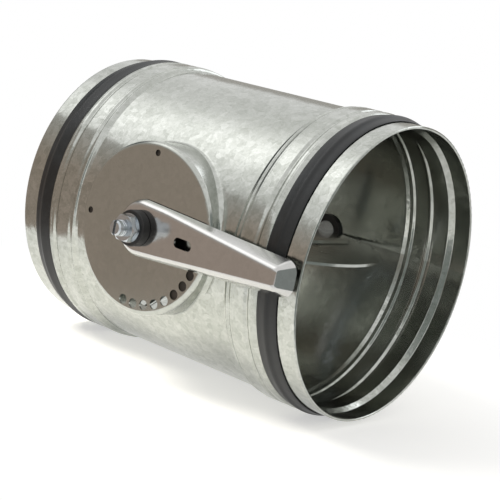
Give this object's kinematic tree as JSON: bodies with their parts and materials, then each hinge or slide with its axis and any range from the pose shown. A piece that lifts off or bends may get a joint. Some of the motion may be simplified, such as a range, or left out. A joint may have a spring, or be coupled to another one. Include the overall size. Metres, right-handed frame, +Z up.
{
  "type": "round duct control damper",
  "caption": "Round galvanised duct damper with lip-sealed spigots, a flat dial boss with index holes and a pressed lever that turns the blade inside.",
  "frame": {"origin": "the point where the blade shaft crosses the duct axis, midway along the casing", "axes": "+X along the duct towards the end that the lever points to when open, -Y along the shaft towards the lever, +Z up"},
  "size_m": [0.1985, 0.1926, 0.164],
  "materials": {
    "galvanised_sheet": "hot-dip galvanised sheet, smooth and bright",
    "galvanised_blade": "hot-dip galvanised sheet, flat pressed",
    "galvanised_lever": "galvanised pressing",
    "plated_steel": "bright zinc plate",
    "spring_steel": "phosphated spring steel",
    "seal_rubber": "black EPDM rubber",
    "friction_rubber": "black hard rubber",
    "black_nylon": "moulded black nylon"
  },
  "bodies": {
    "casing": {"casing": "galvanised_sheet", "seal_left": "seal_rubber", "seal_right": "seal_rubber", "near_bush": "black_nylon", "far_bush": "black_nylon"},
    "blade": {"shaft": "plated_steel", "retaining_rings": "spring_steel", "blade": "galvanised_blade", "blade_screws": "plated_steel", "lever": "galvanised_lever", "friction_washer": "friction_rubber", "plain_washer": "plated_steel", "lock_nut": "plated_steel"}
  },
  "joints": [
    {"name": "blade_turn", "type": "hinge", "parent": "casing", "child": "blade", "pos_m": [0, 0, 0], "axis": [0, 1, 0], "range_deg": [0, 90]}
  ]
}
